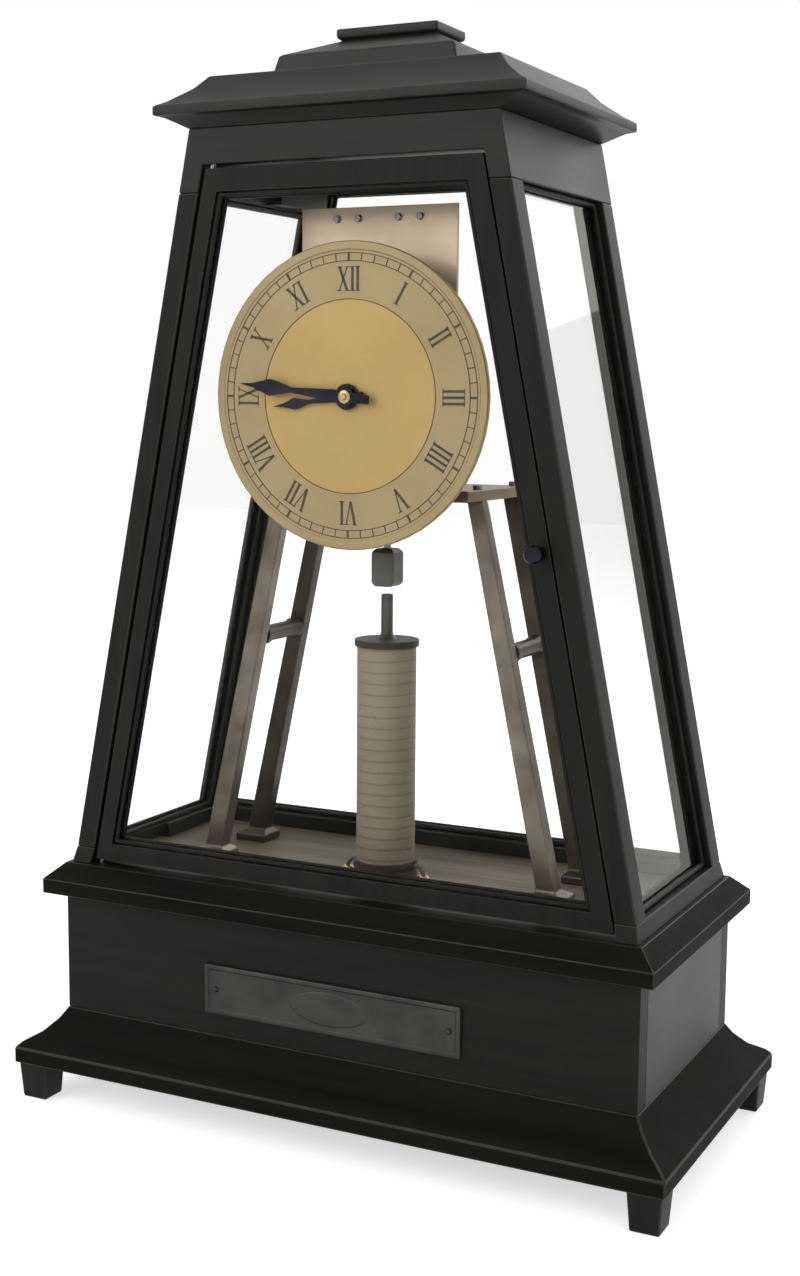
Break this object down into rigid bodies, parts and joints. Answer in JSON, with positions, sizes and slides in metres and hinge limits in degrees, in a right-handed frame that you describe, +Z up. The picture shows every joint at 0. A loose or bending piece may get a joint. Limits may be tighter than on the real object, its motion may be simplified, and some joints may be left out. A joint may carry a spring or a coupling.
{
  "type": "battery clock",
  "caption": "Tapered glazed ebonised case on a battery box, with a gilt dial on a splayed brass stand and a short electromagnetic pendulum behind it.",
  "frame": {"origin": "on the surface that the feet stand on, under the middle of the base", "axes": "+Z up, -Y towards the viewer of the dial, +X to the viewer's right"},
  "size_m": [0.262, 0.131, 0.4],
  "materials": {
    "ebonised_wood": "semi-gloss ebonised",
    "floor_wood": "satin, stained dark",
    "pane_glass": "clear polished",
    "dial_gilt": "gilt, matt",
    "movement_brass": "lacquered",
    "plate_brass": "lacquered, rosy",
    "stand_bronze": "aged, satin",
    "steel": "satin",
    "blackened_steel": "satin",
    "soft_iron": "machined, dull",
    "coil_wrap": "matt cloth wrap",
    "battery_card": "matt card",
    "lead_braid": "matt braid"
  },
  "bodies": {
    "case": {"foot_front_left": "ebonised_wood", "foot_front_right": "ebonised_wood", "foot_rear_left": "ebonised_wood", "foot_rear_right": "ebonised_wood", "plinth_board": "ebonised_wood", "box_front_board": "ebonised_wood", "box_back_board": "ebonised_wood", "box_left_board": "ebonised_wood", "box_right_board": "ebonised_wood", "cage_sill": "ebonised_wood", "post_front_left": "ebonised_wood", "post_front_right": "ebonised_wood", "post_rear_left": "ebonised_wood", "post_rear_right": "ebonised_wood", "top_frame": "ebonised_wood", "cornice": "ebonised_wood", "roof_block": "ebonised_wood", "deck_board": "floor_wood", "glass_left": "pane_glass", "glass_right": "pane_glass", "glass_back": "pane_glass", "dial": "dial_gilt", "movement_plate_front": "movement_brass", "pillar_left": "movement_brass", "pillar_right": "movement_brass", "platform": "movement_brass", "movement_plate_back": "plate_brass", "stand_leg_front_left": "stand_bronze", "stand_leg_front_right": "stand_bronze", "stand_leg_rear_left": "stand_bronze", "stand_leg_rear_right": "stand_bronze", "crossbar_left": "stand_bronze", "crossbar_right": "stand_bronze", "battery_door_pin": "steel", "suspension_cock": "steel", "magnet_core": "soft_iron", "magnet_coil": "coil_wrap", "dry_battery": "battery_card", "battery_lead_left": "lead_braid", "battery_lead_right": "lead_braid"},
    "glass_door": {"door_frame": "ebonised_wood", "door_glass": "pane_glass", "door_pin_upper": "steel", "door_pin_lower": "steel", "door_knob": "blackened_steel"},
    "battery_hatch": {"battery_door": "ebonised_wood", "battery_door_knob": "blackened_steel"},
    "count_train": {"count_wheel": "movement_brass"},
    "intermediate_train": {"intermediate_wheel": "movement_brass"},
    "centre_train": {"centre_wheel": "movement_brass"},
    "minute_train": {"minute_hand": "blackened_steel", "cannon_pinion": "steel"},
    "minute_reduction": {"minute_wheel": "movement_brass"},
    "hour_train": {"hour_hand": "blackened_steel", "hour_wheel": "movement_brass"},
    "pendulum": {"pendulum_rod": "steel", "pendulum_bob": "movement_brass", "armature": "soft_iron"},
    "nut": {"rating_nut": "movement_brass"},
    "pawl": {"driving_pawl": "steel"}
  },
  "joints": [
    {"name": "glass_door_hinge", "type": "hinge", "parent": "case", "child": "glass_door", "pos_m": [-0.1019, -0.045, 0.098], "axis": [-0.1977, 0, -0.9803], "range_deg": [0, 95]},
    {"name": "battery_door_hinge", "type": "hinge", "parent": "case", "child": "battery_hatch", "pos_m": [-0.067, 0.048, 0.05675], "axis": [0, 0, 1], "range_deg": [0, 90]},
    {"name": "count_wheel_turn", "type": "hinge", "parent": "case", "child": "count_train", "pos_m": [0, -0.03, 0.298], "axis": [0, 1, 0], "continuous": true},
    {"name": "intermediate_wheel_turn", "type": "hinge", "parent": "case", "child": "intermediate_train", "pos_m": [-0.01125, -0.03, 0.28593], "axis": [0, 1, 0], "continuous": true},
    {"name": "centre_wheel_turn", "type": "hinge", "parent": "case", "child": "centre_train", "pos_m": [0, -0.03, 0.27], "axis": [0, 1, 0], "continuous": true},
    {"name": "minute_hand_turn", "type": "hinge", "parent": "case", "child": "minute_train", "pos_m": [0, -0.042, 0.27], "axis": [0, 1, 0], "continuous": true},
    {"name": "minute_wheel_turn", "type": "hinge", "parent": "case", "child": "minute_reduction", "pos_m": [0, -0.032, 0.258], "axis": [0, 1, 0], "continuous": true},
    {"name": "hour_hand_turn", "type": "hinge", "parent": "case", "child": "hour_train", "pos_m": [0, -0.04, 0.27], "axis": [0, 1, 0], "continuous": true},
    {"name": "pendulum_swing", "type": "hinge", "parent": "case", "child": "pendulum", "pos_m": [0, -0.008, 0.33], "axis": [0, 1, 0], "range_deg": [-3.5, 3.5]},
    {"name": "rating_nut_turn", "type": "hinge", "parent": "pendulum", "child": "nut", "pos_m": [0, -0.008, 0.2472], "axis": [0, 0, 1], "continuous": true},
    {"name": "pawl_lift", "type": "hinge", "parent": "pendulum", "child": "pawl", "pos_m": [-0.01, -0.0139, 0.311], "axis": [0, -1, 0], "range_deg": [0, 15]}
  ],
  "couplings": [
    {"joint": "intermediate_wheel_turn", "follows": "count_wheel_turn", "ratio": -0.1},
    {"joint": "centre_wheel_turn", "follows": "count_wheel_turn", "ratio": 0.0083333},
    {"joint": "minute_wheel_turn", "follows": "minute_hand_turn", "ratio": -0.33333},
    {"joint": "hour_hand_turn", "follows": "minute_hand_turn", "ratio": 0.083333}
  ]
}
